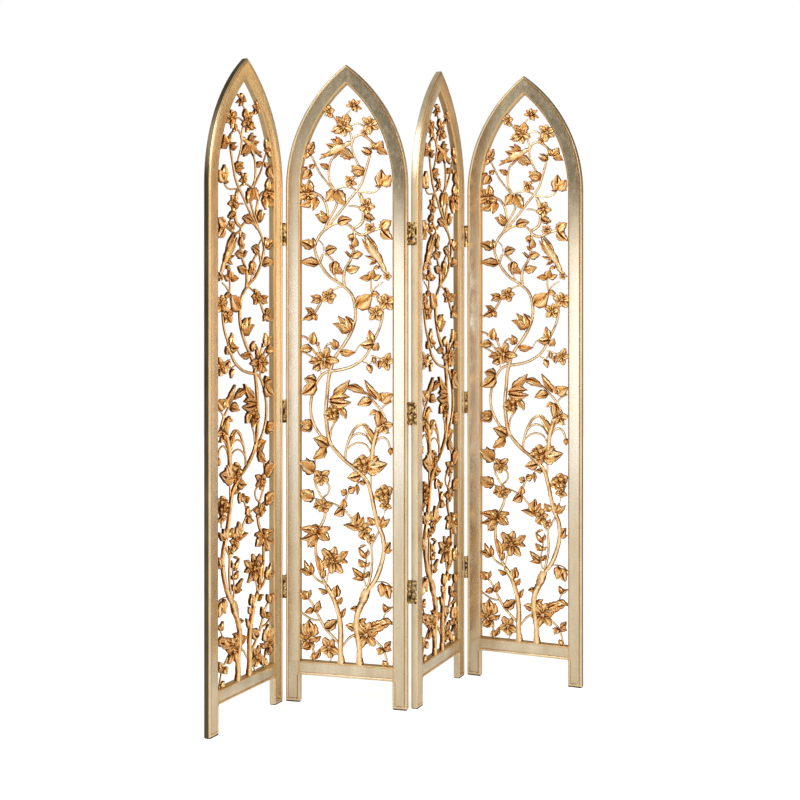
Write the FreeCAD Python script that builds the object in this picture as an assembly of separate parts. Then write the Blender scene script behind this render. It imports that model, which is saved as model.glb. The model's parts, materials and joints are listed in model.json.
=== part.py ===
import FreeCAD, Part

import math
import os

from FreeCAD import Vector

# Overall sizes of one panel, in millimetres.
PANEL_HEIGHT = 2000.0
PANEL_WIDTH = 395.0
PANEL_THICKNESS = 22.0
ARCH_RISE = 387.0
STILE_FACE = 47.5
RAIL_UNDERSIDE = 86.0
RAIL_FACE = 45.0

# Moulding on the face of uprights and rail.
BEAD_WIDTH = 9.0
BEAD_CROWN = 4.0
BEAD_SHOULDER = 1.5
FIELD_SETBACK = 1.5
INNER_CHAMFER_WIDTH = 6.0
INNER_CHAMFER_DEPTH = 6.5
BACK_ARRIS = 2.0

# Each half of the arch is swept a little past its mitre and then cut back on it.
PAST_MITRE_SHARE = 1.05

# Joinery hidden in the frame.
TENON_LENGTH = 26.0
TENON_HEIGHT = 26.0
TENON_THICKNESS = 7.0
TONGUE_HEIGHT = 20.0
TONGUE_LENGTH = 24.0
TONGUE_DROP = 45.0

# Pads under the feet.
GLIDE_THICKNESS = 3.0
GLIDE_MARGIN = 2.0

# Butt hinges with a fixed pin, three to each pair of panels. Their heights are shares of
# the height at which the arch springs.
HINGE_HEIGHT_SHARES = (0.2245, 0.567, 0.9125)
HINGE_LENGTH = 72.0
BARREL_RADIUS = 5.0
PIN_RADIUS = 2.0
PIN_FIT = 0.05
PIN_SETOUT = 3.6
PIN_FROM_EDGE = 2.0
PLATE_THICKNESS = 1.6
PLATE_FAR_MARGIN = 2.5
KNUCKLE_CLEARANCE = 0.4
KNUCKLE_FLATS = 12
END_KNUCKLE_SHARE = 0.3

# Directions in which the four panels stand, in degrees from the second one.
PANEL_HEADINGS = (77.0, 0.0, 80.0, -8.0)
PIN_ON_FRONT = (True, False, True)
MIRRORED_PANELS = (0, 2)

# Depths of the carving within the thickness of the frame.
STEM_DEPTH = 9.0
LEAF_DEPTH = 11.0
BLOSSOM_DEPTH = 13.0

# Worked out from the sizes above. The arcs of the arch are struck from the spring line.
SPRING_HEIGHT = PANEL_HEIGHT - ARCH_RISE
HALF_WIDTH = PANEL_WIDTH / 2
ARCH_RADIUS = (ARCH_RISE ** 2 + HALF_WIDTH ** 2) / PANEL_WIDTH
OPENING_WIDTH = PANEL_WIDTH - 2 * STILE_FACE
OPENING_RADIUS = ARCH_RADIUS - STILE_FACE
OPENING_RISE = math.sqrt(OPENING_RADIUS ** 2 - (ARCH_RADIUS - HALF_WIDTH) ** 2)
OPENING_TIP = SPRING_HEIGHT + OPENING_RISE
RAIL_TOP = RAIL_UNDERSIDE + RAIL_FACE
MIDDLE_DEPTH = PANEL_THICKNESS / 2

# The vine is laid out in even shares of its opening: a hundred from side to side, and 603
# from the rail up to the tip, which makes the shares alike both ways at the real size.
ACROSS_SHARES = 100
UP_SHARES = 603
STEP_ACROSS = OPENING_WIDTH / ACROSS_SHARES
STEP_UP = (OPENING_TIP - RAIL_TOP) / UP_SHARES

# Stems: width at the start, width at the end, places along the middle line, all in
# those steps, across from the left and up from the rail.
STEM_SHARES = (
    # The two trunks and the main stem that winds up the panel.
    (6.0, 4.2, ((44.5, -1), (43.6, 16), (44, 33), (40.8, 54), (35.5, 68), (27, 81))),
    (3.0, 3.0, ((28, 79), (21, 93), (16.5, 113), (19.5, 136), (26, 151), (26.5, 160))),
    (5.6, 6.4, ((63.8, -1), (64, 17), (61, 39), (65, 60), (74, 79))),
    (4.6, 3.8, ((73, 77), (81.5, 89), (90.2, 117), (86, 142), (79.7, 163), (74, 188), (61.5, 201.5))),
    (4.0, 3.8, ((63, 200.5), (48, 211), (33, 227), (28.2, 250), (28.5, 275), (32, 304))),
    (3.8, 3.4, ((31.5, 300), (40.5, 323), (55, 344), (59.9, 366), (52, 389.5), (31.5, 402.5))),
    (3.4, 4.0, ((33, 401.5), (20.5, 417), (15.3, 432), (25, 450.5), (41, 468), (63, 493))),
    (2.6, 2.0, ((61, 491), (69.5, 508), (75.6, 530))),
    # Stems in the lower third.
    (3.0, 2.2, ((44, 18), (27.5, 34), (15, 55), (0, 71))),
    (2.2, 2.0, ((21, 42.3), (11, 43.5), (-1, 50.5))),
    (2.0, 2.6, ((45, 16), (52, 25.5), (62, 31.5))),
    (2.4, 2.0, ((72, 31), (88.5, 18.5), (95, -1))),
    (2.8, 2.0, ((72, 78), (77.5, 104), (77, 124), (86.5, 141.5))),
    (1.6, 2.6, ((14, 170.5), (33, 166.3), (50, 157), (76.5, 123.5))),
    (2.2, 2.2, ((15.5, 198), (17.5, 181), (24, 169.5))),
    # The feathery arches and the loop on the left.
    (2.2, 3.2, ((48.8, 211), (54.5, 237), (66, 249), (79, 233))),
    (4.2, 4.4, ((77.5, 207), (79, 228), (84.5, 248))),
    (2.0, 2.2, ((79.5, 226), (88.5, 236.3), (98, 219))),
    (2.8, 2.6, ((32, 226.5), (14, 249), (14, 283.5), (33, 304.5))),
    # The bough on the right and its twigs.
    (2.8, 2.2, ((31, 303.5), (58, 310.3), (80, 337.5), (88.7, 361), (77, 387))),
    (2.4, 2.2, ((89, 250), (86.5, 265), (70, 283))),
    (2.0, 2.4, ((-1, 340), (10.5, 334), (25, 313))),
    (1.8, 2.8, ((47, 392.5), (30, 384), (14, 363.5), (-1, 357))),
    # Stems in the upper third.
    (3.0, 2.4, ((48.5, 391), (48.5, 410), (58, 434), (57.5, 453))),
    (2.4, 2.6, ((25, 450), (29.3, 466), (13, 491))),
    (2.4, 2.2, ((28, 458), (39.5, 480), (38.5, 494))),
    (2.4, 2.4, ((57, 450.5), (65, 446.2), (73, 444))),
    (3.0, 2.6, ((57.5, 451), (68, 461), (71, 473))),
    (2.2, 1.8, ((41, 491), (20, 512), (8, 535))),
    (2.2, 2.2, ((37, 493), (31, 515), (50, 536))),
    (1.8, 1.8, ((61, 491), (77, 489.7), (89, 499))),
    (2.0, 2.0, ((70.5, 509), (57, 531), (48, 559))),
)

# Leaves: width, place of the base, place of the tip, in the same steps.
LEAF_SHARES = (
    (7.5, (25, 37), (40.5, 44.5)), (9.0, (72, 34), (100.5, 44)), (8.5, (27, 80), (-1.5, 97)),
    (8.0, (82, 89), (97, 70)), (14.0, (18, 169.5), (-2, 175)), (10.0, (16, 196), (-2, 208.5)),
    (15.0, (70, 205), (93.5, 209)), (12.5, (15, 247), (-2, 246)), (11.0, (19.5, 292), (-1, 284)),
    (8.0, (84, 268), (100.5, 281.5)), (11.0, (59.7, 370), (78, 384.5)),
    (8.0, (38.5, 493), (27.5, 480.5)), (8.5, (38.5, 493), (48.5, 476.5)),
    (8.0, (49, 535), (20.5, 528)), (8.0, (70.5, 509), (55.5, 518)), (9.0, (88, 498), (89, 513.5)),
    (8.0, (48, 559), (60, 585)),
)

# Blossoms: radius and place of the centre, in the same steps.
BLOSSOM_SHARES = (
    (10.5, (9, 35)), (9.5, (33, 14)), (9.0, (71, 31)), (13.0, (31, 105)), (10.5, (9.5, 132)),
    (11.0, (88, 176)), (9.5, (66, 206)), (8.5, (89, 250)), (9.5, (36, 260)), (11.0, (25.5, 315)),
    (10.0, (8, 490)), (9.0, (46, 559)),
)

# The long-tailed bird: width and place, from the tip of its tail to its beak.
BIRD_SHARES = ((2.0, (70, 446.5)), (6.0, (76, 433)), (9.5, (84, 423)), (5.5, (91, 411)),
               (3.0, (101, 403)))

# How the carved forms are cut: the petals of a blossom and how deep they part, how far along
# a leaf its crown stands, and the bend in degrees that one facet of a stem takes up.
PETALS = 5
PETAL_NOTCH_SHARE = 0.6
LEAF_CROWN_SHARE = 0.42
BEND_PER_FACET = 46.0


def face_profile(face_width):
    """Outline across a frame member: across from the outer edge, then back from the face."""
    return [
        (BACK_ARRIS, PANEL_THICKNESS),
        (0, PANEL_THICKNESS - BACK_ARRIS),
        (0, BEAD_SHOULDER),
        (BEAD_CROWN, 0),
        (BEAD_WIDTH, FIELD_SETBACK),
        (face_width - INNER_CHAMFER_WIDTH, FIELD_SETBACK),
        (face_width, INNER_CHAMFER_DEPTH),
        (face_width, PANEL_THICKNESS),
    ]


def square_inner_profile(face_width):
    """The same outline where the rail is let in: its inner edge is left square."""
    outline = face_profile(face_width)
    outline[-3:-1] = [(face_width, FIELD_SETBACK)]
    return outline


def foot_profile():
    """Outline across a foot, with the bead on both of its edges."""
    left = face_profile(STILE_FACE)[:-3]
    right = [(STILE_FACE - across, back) for across, back in reversed(left)]
    return left + right


def plane_face(points):
    """A flat face inside a closed outline."""
    return Part.Face(Part.makePolygon(points + points[:1]))


def upright_prism(outline, bottom, top):
    """A length of stile standing between two heights."""
    points = [Vector(across, back, bottom) for across, back in outline]
    return plane_face(points).extrude(Vector(0, 0, top - bottom))


def box(left, right, front, back, bottom, top):
    """A square block between six planes."""
    corner = Vector(left, front, bottom)
    return Part.makeBox(right - left, back - front, top - bottom, corner)


def in_depth(thickness):
    """Front and back of a piece that lies in the middle of the thickness."""
    return MIDDLE_DEPTH - thickness / 2, MIDDLE_DEPTH + thickness / 2


def mirrored(shape):
    """The same piece on the other side of the panel."""
    return shape.mirror(Vector(HALF_WIDTH, 0, 0), Vector(1, 0, 0))


def apex_tongue():
    """Loose tongue across the mitre at the top of the arch."""
    front, back = in_depth(TENON_THICKNESS)
    middle = HALF_WIDTH
    bottom = PANEL_HEIGHT - TONGUE_DROP
    return box(middle - TONGUE_LENGTH / 2, middle + TONGUE_LENGTH / 2, front, back,
               bottom, bottom + TONGUE_HEIGHT)


def bottom_rail():
    """Rail between the stiles, with a stub tenon at each end."""
    points = [Vector(STILE_FACE, back, RAIL_UNDERSIDE + up) for up, back in face_profile(RAIL_FACE)]
    body = plane_face(points).extrude(Vector(OPENING_WIDTH, 0, 0))
    front, back = in_depth(TENON_THICKNESS)
    middle = RAIL_UNDERSIDE + RAIL_FACE / 2
    tenon = box(STILE_FACE - TENON_LENGTH, PANEL_WIDTH - STILE_FACE + TENON_LENGTH, front, back,
                middle - TENON_HEIGHT / 2, middle + TENON_HEIGHT / 2)
    return body.fuse(tenon).removeSplitter()


def left_upright(rail):
    """Left side of a panel in one piece: foot, stile and half of the pointed arch."""
    foot = upright_prism(foot_profile(), GLIDE_THICKNESS, RAIL_UNDERSIDE)
    seat = upright_prism(square_inner_profile(STILE_FACE), RAIL_UNDERSIDE, RAIL_TOP)
    shaft = upright_prism(face_profile(STILE_FACE), RAIL_TOP, SPRING_HEIGHT)
    upright = foot.fuse([seat, shaft, arch_half()]).removeSplitter()
    return upright.cut([rail, apex_tongue()])


def arch_half():
    """Quarter ring above the stile, cut on the mitre at the top."""
    centre = Vector(ARCH_RADIUS, 0, SPRING_HEIGHT)
    points = [Vector(across, back, SPRING_HEIGHT) for across, back in face_profile(STILE_FACE)]
    to_mitre = math.degrees(math.asin(ARCH_RISE / ARCH_RADIUS))
    ring = plane_face(points).revolve(centre, Vector(0, 1, 0), to_mitre * PAST_MITRE_SHARE)
    beyond = box(HALF_WIDTH, PANEL_WIDTH, -PANEL_THICKNESS, 2 * PANEL_THICKNESS,
                 SPRING_HEIGHT, PANEL_HEIGHT + STILE_FACE)
    return ring.cut(beyond)


def opening_block():
    """The space inside the frame: straight sides, two arcs that meet in a point."""
    low_left = Vector(STILE_FACE, 0, RAIL_TOP)
    low_right = Vector(PANEL_WIDTH - STILE_FACE, 0, RAIL_TOP)
    spring_left = Vector(STILE_FACE, 0, SPRING_HEIGHT)
    spring_right = Vector(PANEL_WIDTH - STILE_FACE, 0, SPRING_HEIGHT)
    tip = Vector(HALF_WIDTH, 0, OPENING_TIP)
    half_sweep = math.asin(OPENING_RISE / OPENING_RADIUS) / 2
    shoulder = OPENING_RADIUS * math.cos(half_sweep)
    rise = SPRING_HEIGHT + OPENING_RADIUS * math.sin(half_sweep)
    left_shoulder = Vector(ARCH_RADIUS - shoulder, 0, rise)
    right_shoulder = Vector(PANEL_WIDTH - ARCH_RADIUS + shoulder, 0, rise)
    edges = [
        Part.makeLine(low_right, low_left),
        Part.makeLine(low_left, spring_left),
        Part.Arc(spring_left, left_shoulder, tip).toShape(),
        Part.Arc(tip, right_shoulder, spring_right).toShape(),
        Part.makeLine(spring_right, low_right),
    ]
    return Part.Face(Part.Wire(edges)).extrude(Vector(0, PANEL_THICKNESS, 0))


def in_shares(place):
    """A place in the vine as a point in shares, so that the whole vine stretches as one."""
    across, up = place
    return Vector(across, 0, up)


def at_depth(point, depth):
    """Where a point in shares lies in the panel, at a depth behind its front."""
    return Vector(STILE_FACE + point.x * STEP_ACROSS, depth, RAIL_TOP + point.z * STEP_UP)


def beside(along, width):
    """Half a width to the left of a direction."""
    return Vector(-along.z, 0, along.x).normalize() * width / 2


def carved_ridge(stations):
    """A tapering ridge with a flat back, from a point, a direction and a width at each station."""
    back = in_depth(STEM_DEPTH)[1]
    left = [at_depth(spot + beside(along, width), back) for spot, along, width in stations]
    right = [at_depth(spot - beside(along, width), back) for spot, along, width in stations]
    ridge = [at_depth(spot, back - STEM_DEPTH) for spot, along, width in stations]
    faces = [plane_face(left + right[::-1]), plane_face([left[0], right[0], ridge[0]]),
             plane_face([left[-1], right[-1], ridge[-1]])]
    for number in range(len(ridge) - 1):
        for edge in (left, right):
            faces.append(plane_face([edge[number], edge[number + 1], ridge[number]]))
            faces.append(plane_face([edge[number + 1], ridge[number], ridge[number + 1]]))
    return Part.Solid(Part.Shell(faces))


def stem(start_width, end_width, places):
    """One stem: a smooth line through its places, cut in facets where it bends."""
    line = Part.BSplineCurve()
    line.interpolate([in_shares(place) for place in places])
    knots = [line.parameter(in_shares(place)) for place in places]
    parameters = [knots[0]]
    for start, end in zip(knots, knots[1:]):
        bend = line.tangent(start)[0].getAngle(line.tangent((start + end) / 2)[0])
        bend += line.tangent((start + end) / 2)[0].getAngle(line.tangent(end)[0])
        runs = max(1, round(math.degrees(bend) / BEND_PER_FACET))
        parameters += [start + (end - start) * run / runs for run in range(1, runs + 1)]
    stations = []
    for parameter in parameters:
        share = (parameter - knots[0]) / (knots[-1] - knots[0])
        width = start_width + (end_width - start_width) * share
        stations.append((line.value(parameter), line.tangent(parameter)[0], width))
    return carved_ridge(stations)


def faceted_form(outline, middle, depth):
    """A carved form with a flat outline at the back and one high point in front."""
    back = in_depth(STEM_DEPTH)[1]
    rim = [at_depth(point, back) for point in outline]
    crown = at_depth(middle, back - depth)
    faces = [plane_face(rim)]
    for here, there in zip(rim, rim[1:] + rim[:1]):
        faces.append(plane_face([here, there, crown]))
    return Part.Solid(Part.Shell(faces))


def leaf(width, base_place, tip_place):
    """A pointed leaf whose crown stands a little prouder than the stems."""
    base = in_shares(base_place)
    tip = in_shares(tip_place)
    middle = base + (tip - base) * LEAF_CROWN_SHARE
    side = beside(tip - base, width)
    return faceted_form([base, middle + side, tip, middle - side], middle, LEAF_DEPTH)


def blossom(radius, centre_place):
    """An open blossom of five petals round a raised heart."""
    centre = in_shares(centre_place)
    outline = []
    for number in range(2 * PETALS):
        reach = radius * (PETAL_NOTCH_SHARE if number % 2 else 1)
        turn = math.pi * number / PETALS
        outline.append(centre + Vector(reach * math.sin(turn), 0, reach * math.cos(turn)))
    return faceted_form(outline, centre, BLOSSOM_DEPTH)


def bird():
    """The long-tailed bird that hangs on the right of the panel."""
    spots = [in_shares(place) for width, place in BIRD_SHARES]
    stations = []
    for number, (width, place) in enumerate(BIRD_SHARES):
        before = spots[max(0, number - 1)]
        after = spots[min(len(spots) - 1, number + 1)]
        stations.append((spots[number], after - before, width))
    return carved_ridge(stations)


def openwork():
    """The carved vine, one piece, trimmed where it meets the frame."""
    forms = [stem(*shares) for shares in STEM_SHARES] + [bird()]
    forms += [leaf(*shares) for shares in LEAF_SHARES]
    forms += [blossom(*shares) for shares in BLOSSOM_SHARES]
    carving = forms[0].multiFuse(forms[1:])
    return carving.common(opening_block()).removeSplitter()


def foot_glides():
    """A pad under each foot."""
    left = box(GLIDE_MARGIN, STILE_FACE - GLIDE_MARGIN, GLIDE_MARGIN,
               PANEL_THICKNESS - GLIDE_MARGIN, 0, GLIDE_THICKNESS)
    return Part.makeCompound([left, mirrored(left)])


def round_bar(radius, bottom, top):
    """A pin or bore on the hinge axis, which stands at the origin here."""
    return Part.makeCylinder(radius, top - bottom, Vector(0, 0, bottom), Vector(0, 0, 1))


def knuckle(bottom, top):
    """A barrel of the hinge, with so many flats that it is as good as round."""
    outline = []
    for number in range(KNUCKLE_FLATS):
        turn = 2 * math.pi * number / KNUCKLE_FLATS
        outline.append((BARREL_RADIUS * math.cos(turn), BARREL_RADIUS * math.sin(turn)))
    return upright_prism(outline, bottom, top)


def hinge_plate(side, gaps):
    """The flat part of a hinge leaf, on the left (-1) or right (1) of the axis.

    It lies on the edge of an upright, and is cut back beside the other leaf's
    knuckles, whose heights are given in gaps.
    """
    half = HINGE_LENGTH / 2
    near = PIN_FROM_EDGE - PLATE_THICKNESS
    left, right = sorted([side * near, side * PIN_FROM_EDGE])
    far = PIN_SETOUT + PANEL_THICKNESS - PLATE_FAR_MARGIN
    plate = box(left, right, 0, far, -half, half)
    clear = BARREL_RADIUS + KNUCKLE_CLEARANCE
    return plate.cut([box(-clear, clear, -clear, clear, bottom, top) for bottom, top in gaps])


def knuckle_heights():
    """Bottom and top of the middle knuckle, and of the two end knuckles."""
    half = HINGE_LENGTH / 2
    end = HINGE_LENGTH * END_KNUCKLE_SHARE
    middle = (end - half, half - end)
    inner = half - end + KNUCKLE_CLEARANCE
    return middle, [(-half, -inner), (inner, half)]


def pin_leaf():
    """Hinge leaf with the two end knuckles and the pin that is fast in them."""
    middle, ends = knuckle_heights()
    half = HINGE_LENGTH / 2
    barrels = [knuckle(bottom, top) for bottom, top in ends]
    pin = round_bar(PIN_RADIUS, -half, half)
    gap = (middle[0] - KNUCKLE_CLEARANCE, middle[1] + KNUCKLE_CLEARANCE)
    return hinge_plate(-1, [gap]).fuse(barrels + [pin]).removeSplitter()


def sleeve_leaf():
    """Hinge leaf with the middle knuckle, bored to run on the pin."""
    middle, ends = knuckle_heights()
    half = HINGE_LENGTH / 2
    gaps = [(-half - KNUCKLE_CLEARANCE, middle[0]), (middle[1], half + KNUCKLE_CLEARANCE)]
    bore = round_bar(PIN_RADIUS + PIN_FIT, *middle)
    return hinge_plate(1, gaps).fuse(knuckle(*middle)).removeSplitter().cut(bore)


def hinge_leaves(leaf_shape, across, pin_on_front):
    """Three like leaves up the edge of a panel, with their axis at one side of it."""
    if pin_on_front:
        depth = -PIN_SETOUT
        turned = leaf_shape
    else:
        depth = PANEL_THICKNESS + PIN_SETOUT
        turned = leaf_shape.mirror(Vector(0, 0, 0), Vector(0, 1, 0))
    copies = []
    for share in HINGE_HEIGHT_SHARES:
        one = turned.copy()
        one.translate(Vector(across, depth, SPRING_HEIGHT * share))
        copies.append(one)
    return Part.makeCompound(copies)


def turned(point, number):
    """A place in a panel's own plan, turned to the panel's heading."""
    return FreeCAD.Rotation(Vector(0, 0, 1), PANEL_HEADINGS[number]).multVec(point)


def hinge_axis(number, right_edge, pin_on_front):
    """Where a hinge axis stands from the front left corner of a panel."""
    across = PANEL_WIDTH + PIN_FROM_EDGE if right_edge else -PIN_FROM_EDGE
    depth = -PIN_SETOUT if pin_on_front else PANEL_THICKNESS + PIN_SETOUT
    return turned(Vector(across, depth, 0), number)


def panel_corners():
    """Front left corner of each panel, from one hinge axis to the next."""
    corners = [Vector(0, 0, 0)]
    for number, pin_on_front in enumerate(PIN_ON_FRONT):
        meeting = corners[number] + hinge_axis(number, True, pin_on_front)
        corners.append(meeting - hinge_axis(number + 1, False, pin_on_front))
    return corners


def footprint_centre(corners):
    """Middle of the rectangle that just holds all the feet."""
    spots = []
    for number, corner in enumerate(corners):
        for across, back in foot_profile():
            for place in (across, PANEL_WIDTH - across):
                spots.append(corner + turned(Vector(place, back, 0), number))
    low = Vector(min(spot.x for spot in spots), min(spot.y for spot in spots), 0)
    high = Vector(max(spot.x for spot in spots), max(spot.y for spot in spots), 0)
    return (low + high) / 2


def panel_pieces():
    """Pieces of one panel in its own plan, by name, without its hinges."""
    rail = bottom_rail()
    upright = left_upright(rail)
    return {
        "left_upright": upright,
        "right_upright": mirrored(upright),
        "bottom_rail": rail,
        "apex_tongue": apex_tongue(),
        "foot_glides": foot_glides(),
        "openwork": openwork(),
    }


def write_piece(name, shape, number, corner):
    """Stand a piece where its panel stands and write it to its own file."""
    placed = shape.copy()
    placed.rotate(Vector(0, 0, 0), Vector(0, 0, 1), PANEL_HEADINGS[number])
    placed.translate(corner)
    placed.exportStep("parts/" + name + ".step")


def build():
    """Write every piece of the four panels and of the hinges between them."""
    os.makedirs("parts", exist_ok=True)
    corners = panel_corners()
    centre = footprint_centre(corners)
    pieces = panel_pieces()
    for number, corner in enumerate(corners):
        for name, shape in pieces.items():
            # The vine is carved left-handed and right-handed in turn.
            if name == "openwork" and number in MIRRORED_PANELS:
                shape = mirrored(shape)
            write_piece("panel_%d_%s" % (number + 1, name), shape, number, corner - centre)
    for number, pin_on_front in enumerate(PIN_ON_FRONT):
        pair = "hinges_%d_to_%d" % (number + 1, number + 2)
        on_left = hinge_leaves(pin_leaf(), PANEL_WIDTH + PIN_FROM_EDGE, pin_on_front)
        on_right = hinge_leaves(sleeve_leaf(), -PIN_FROM_EDGE, pin_on_front)
        write_piece(pair + "_pin_leaves", on_left, number, corners[number] - centre)
        write_piece(pair + "_sleeve_leaves", on_right, number + 1, corners[number + 1] - centre)


build()
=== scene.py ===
import json
import math

import bmesh
import bpy
from mathutils import Matrix, Vector, noise


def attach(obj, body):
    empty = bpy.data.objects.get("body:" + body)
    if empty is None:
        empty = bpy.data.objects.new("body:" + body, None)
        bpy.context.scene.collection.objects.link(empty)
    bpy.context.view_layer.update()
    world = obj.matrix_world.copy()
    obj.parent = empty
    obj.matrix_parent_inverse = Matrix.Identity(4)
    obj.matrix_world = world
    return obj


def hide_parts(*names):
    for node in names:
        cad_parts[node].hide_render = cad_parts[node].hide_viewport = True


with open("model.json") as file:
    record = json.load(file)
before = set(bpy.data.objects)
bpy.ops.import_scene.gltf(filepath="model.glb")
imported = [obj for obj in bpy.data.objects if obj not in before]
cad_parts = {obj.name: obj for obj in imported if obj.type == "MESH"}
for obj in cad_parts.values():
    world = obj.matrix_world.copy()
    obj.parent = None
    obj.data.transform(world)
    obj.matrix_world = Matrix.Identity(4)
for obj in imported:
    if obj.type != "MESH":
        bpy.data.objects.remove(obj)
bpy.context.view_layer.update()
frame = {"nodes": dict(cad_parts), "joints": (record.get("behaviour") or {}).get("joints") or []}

# Where the panels stand. Four like panels meet on hinges in a zigzag; each has its own
# heading, and its corner is found from the hinge pin at one of its edges. Everything on a
# panel is modelled in the panel's own plan: across from the left, back from the face, up.
PANEL_WIDTH = 0.395
PANEL_THICKNESS = 0.022
PANEL_HEIGHT = 2.0
HEADINGS = [77.0, 0.0, 80.0, -8.0]
PANELS = ["panel_%d_" % number for number in (1, 2, 3, 4)]
PIN_FROM_EDGE = 0.002
PIN_SETOUT = 0.0036
PINS = [Vector(joint["pos_m"]) for joint in frame["joints"]]


def turn_to(heading):
    """The turn about a standing line that brings a panel to its heading."""
    return Matrix.Rotation(math.radians(heading), 4, "Z")


def panel_corner(pin, heading, right_edge, pin_on_front):
    """Lower front left corner of a panel, from the pin of one of its hinges."""
    across = PANEL_WIDTH + PIN_FROM_EDGE if right_edge else -PIN_FROM_EDGE
    back = -PIN_SETOUT if pin_on_front else PANEL_THICKNESS + PIN_SETOUT
    standing = Vector((pin.x, pin.y, 0))
    return standing - turn_to(heading) @ Vector((across, back, 0))


CORNERS = [
    panel_corner(PINS[0], HEADINGS[0], True, True),
    panel_corner(PINS[0], HEADINGS[1], False, True),
    panel_corner(PINS[1], HEADINGS[2], False, False),
    panel_corner(PINS[2], HEADINGS[3], False, True),
]
PLACES = [Matrix.Translation(corner) @ turn_to(heading)
          for corner, heading in zip(CORNERS, HEADINGS)]
TO_MIRROR = Matrix.Translation((PANEL_WIDTH, 0, 0)) @ Matrix.Scale(-1, 4, (1, 0, 0))


def stand(shape, name, number, finishes, nodes, mirror=False):
    """Stand a finished shape in a panel, with its place in its mesh.

    The place in the panel's plan stays with each point, so that leaf and wear follow the
    panel and not the room.
    """
    mesh = bpy.data.meshes.new(name)
    shape.to_mesh(mesh)
    if mirror:
        mesh.transform(TO_MIRROR)
        mesh.flip_normals()
    plan = mesh.attributes.new("in_panel", "FLOAT_VECTOR", "POINT")
    for point, spot in zip(mesh.vertices, plan.data):
        spot.vector = point.co
    mesh.transform(PLACES[number])
    for finish in finishes:
        mesh.materials.append(finish)
    piece = bpy.data.objects.new(name, mesh)
    bpy.context.collection.objects.link(piece)
    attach(piece, "panel_%d" % (number + 1))
    if nodes:
        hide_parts(*nodes)
    return piece


# The gilt frames. Each side of a panel is one upright with half of the pointed arch: a round
# bead, a sunk line, a flat field and a quarter-round at the opening, run on the face. They are
# hardwood under gesso, water-gilt with pale leaf on the field and warm leaf on the mouldings.
STILE_FACE = 0.0475
SPRING_HEIGHT = 1.613
RAIL_UNDERSIDE = 0.086
RAIL_FACE = 0.045
RAIL_TOP = RAIL_UNDERSIDE + RAIL_FACE
GLIDE_THICKNESS = 0.003
ARCH_RISE = PANEL_HEIGHT - SPRING_HEIGHT
ARCH_RADIUS = (ARCH_RISE ** 2 + (PANEL_WIDTH / 2) ** 2) / PANEL_WIDTH
BEAD_RADIUS = 0.0045
BEAD_SWEEP = 0.80 * math.pi
BEAD_STEPS = 8
LINE_FLOOR = (0.0089, 0.0024)
FIELD_START = 0.0099
FIELD_SETBACK = 0.0015
QUARTER_RADIUS = 0.006
QUARTER_STEPS = 5
BACK_ARRIS = 0.002
BEAD, SUNK_LINE, FIELD, QUARTER, REVEAL, EDGE = range(6)


def outer_moulding():
    """Bead and sunk line: (across, back, finish of the strip that follows) from the back."""
    points = [(BACK_ARRIS, PANEL_THICKNESS, EDGE), (0, PANEL_THICKNESS - BACK_ARRIS, EDGE)]
    for step in range(BEAD_STEPS + 1):
        turn = BEAD_SWEEP * step / BEAD_STEPS
        across = BEAD_RADIUS * (1 - math.cos(turn))
        back = BEAD_RADIUS * (1 - math.sin(turn))
        points.append((across, back, BEAD if step < BEAD_STEPS else SUNK_LINE))
    points.append((*LINE_FLOOR, SUNK_LINE))
    points.append((FIELD_START, FIELD_SETBACK, FIELD))
    return points


def opening_moulding(member, square):
    """Quarter-round beside the opening, or a plain corner where the rail seats."""
    points = []
    for step in range(QUARTER_STEPS + 1):
        turn = math.pi / 2 * step / QUARTER_STEPS
        across = member - QUARTER_RADIUS * (1 - math.sin(turn))
        back = FIELD_SETBACK + QUARTER_RADIUS * (1 - math.cos(turn))
        if square:
            across = member - QUARTER_RADIUS if step == 0 else member
            back = FIELD_SETBACK + QUARTER_RADIUS * max(step - 1, 0) / QUARTER_STEPS
        points.append((across, back, QUARTER if step < QUARTER_STEPS else REVEAL))
    points.append((member, PANEL_THICKNESS, EDGE))
    return points


def extruded(shape, edges, corners=()):
    """Extrude edges: the new corner beside each corner given, and the new edges."""
    parts = bmesh.ops.extrude_edge_only(shape, edges=edges)["geom"]
    fresh = {part for part in parts if isinstance(part, bmesh.types.BMVert)}
    beside = [next(edge.other_vert(corner) for edge in corner.link_edges
                   if edge.other_vert(corner) in fresh) for corner in corners]
    row = [part for part in parts if isinstance(part, bmesh.types.BMEdge)
           and part.verts[0] in fresh and part.verts[1] in fresh]
    return beside, row


def drawn(shape, sections, closed):
    """Draw a moulding through its sections, one extrusion from each to the next.

    A section is a list of places, with the finish of the strip that follows each.
    """
    first = here = [shape.verts.new(place) for place, finish in sections[0]]
    count = len(first)
    spans = range(count if closed else count - 1)
    row = [shape.edges.new((first[at], first[(at + 1) % count])) for at in spans]
    if closed:
        shape.faces.new(first[::-1]).material_index = EDGE
    for section in sections[1:]:
        here = extruded(shape, row, here)[0]
        for corner, (place, finish) in zip(here, section):
            corner.co = place
        row = [shape.edges.get((here[at], here[(at + 1) % count])) for at in spans]
        for at, edge in zip(spans, row):
            edge.link_faces[0].material_index = section[at][1]
    if closed:
        shape.faces.new(here).material_index = EDGE


def arch_place(across, back, share):
    """A place on the left half arch, as a share of the way from spring to mitre."""
    radius = ARCH_RADIUS - across
    turn = math.acos((ARCH_RADIUS - PANEL_WIDTH / 2) / radius) * share
    return Vector((ARCH_RADIUS - radius * math.cos(turn), back,
                   SPRING_HEIGHT + radius * math.sin(turn)))


ARCH_STEPS = 40
ARCH_SOFT_EDGE = 40


def softened(piece, angle):
    """Shade a piece smooth, but for edges that turn by more than an angle in degrees."""
    piece.data.shade_smooth()
    piece.data.set_sharp_from_angle(angle=math.radians(angle))


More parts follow.
